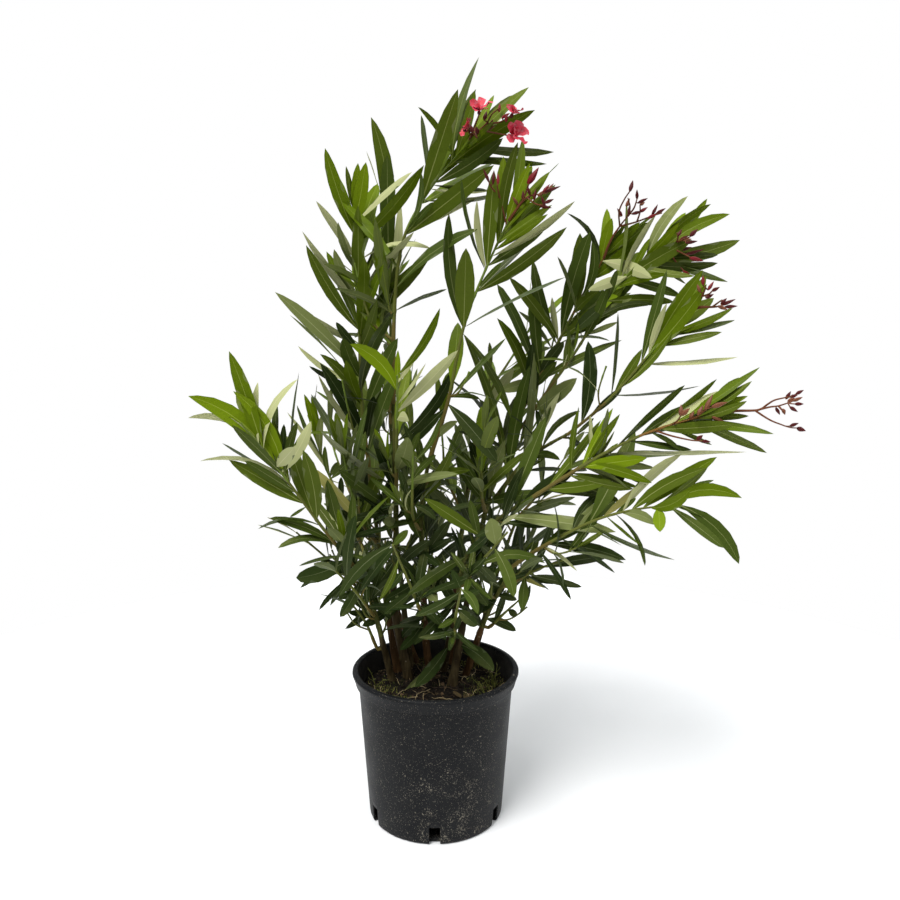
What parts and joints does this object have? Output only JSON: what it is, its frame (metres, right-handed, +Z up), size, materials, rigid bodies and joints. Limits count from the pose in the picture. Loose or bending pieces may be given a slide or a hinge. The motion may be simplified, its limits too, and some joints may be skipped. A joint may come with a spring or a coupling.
{
  "type": "potted oleander",
  "caption": "Potted evergreen shrub: slender canes rise from a round nursery pot and spread into whorls of long narrow leaves, with buds and a few flowers at the tips.",
  "frame": {"origin": "centre of the pot's flat underside, at ground level", "axes": "+Z up; -Y is the front of the shrub; +X is to the right seen from the front, the side the longest shoots lean to"},
  "size_m": [0.7476, 0.5928, 1.0494],
  "materials": {
    "pot_plastic": "satin black moulded plastic with dried dirt",
    "compost": "moist dark potting compost",
    "bark": "smooth red-brown to grey-brown bark",
    "foliage": "leathery green leaves, paler below"
  },
  "bodies": {
    "root": {"pot": "pot_plastic", "compost": "compost", "cane_tall": "bark", "cane_left": "bark", "cane_back_left": "bark", "cane_middle": "bark", "cane_right": "bark", "bough_right": "bark", "cane_far_right": "bark", "cane_low_right": "bark", "cane_low_left": "bark", "cane_back_right": "bark", "cane_back": "bark", "cane_back_far_left": "bark", "cane_back_far_right": "bark", "foliage_top": "foliage", "foliage_left_upper": "foliage", "foliage_back_left_upper": "foliage", "foliage_centre": "foliage", "foliage_middle_upper": "foliage", "foliage_right_upper": "foliage", "foliage_right_top": "foliage", "foliage_right_outer": "foliage", "foliage_far_right": "foliage", "foliage_low_right": "foliage", "foliage_low_left": "foliage", "foliage_left": "foliage", "foliage_back_right_upper": "foliage", "foliage_back": "foliage", "foliage_back_far_left": "foliage", "foliage_back_far_right": "foliage", "foliage_back_middle": "foliage", "foliage_back_low_left": "foliage", "foliage_back_low_right": "foliage", "foliage_back_low": "foliage", "foliage_front_left": "foliage", "foliage_front": "foliage", "foliage_front_middle": "foliage", "foliage_front_right": "foliage", "foliage_low_left_side": "foliage", "foliage_left_side": "foliage", "foliage_left_outer": "foliage", "foliage_right_side": "foliage", "foliage_low_right_side": "foliage", "foliage_middle_right": "foliage", "foliage_middle_left": "foliage", "foliage_middle_back": "foliage", "foliage_right_inner": "foliage", "foliage_left_inner": "foliage"}
  },
  "joints": []
}
